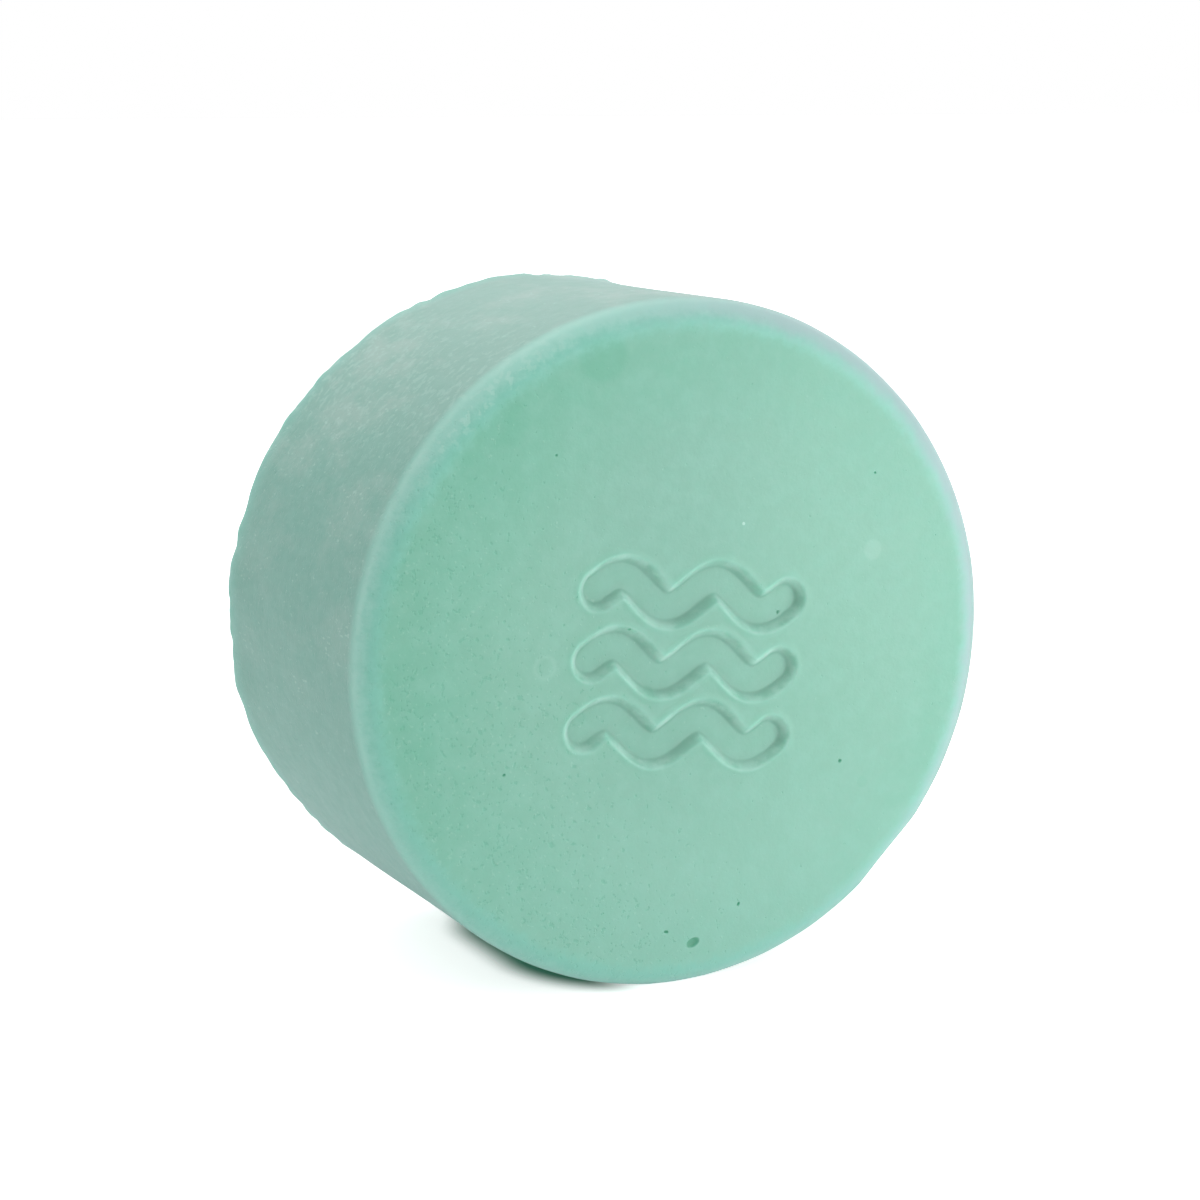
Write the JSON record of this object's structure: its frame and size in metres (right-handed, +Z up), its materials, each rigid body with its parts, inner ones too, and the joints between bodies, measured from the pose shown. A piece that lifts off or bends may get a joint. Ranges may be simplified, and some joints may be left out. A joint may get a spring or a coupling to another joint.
{
  "type": "shaving soap puck",
  "caption": "Round cast puck of shaving soap, standing on its side, with a rounded front edge and a shallow stamped wave mark.",
  "frame": {"origin": "the point on the surface that the puck stands on, under the middle of the puck, halfway along its axis", "axes": "+Z up, +Y along the puck's axis from its stamped front face to its plain back face, +X to the right seen from the front"},
  "size_m": [0.0636, 0.0346, 0.0633],
  "materials": {
    "soap": "mint green cast soap, matte and faintly waxy, with a pale bloom on its side and rim"
  },
  "bodies": {
    "root": {"soap_puck": "soap"}
  },
  "joints": []
}
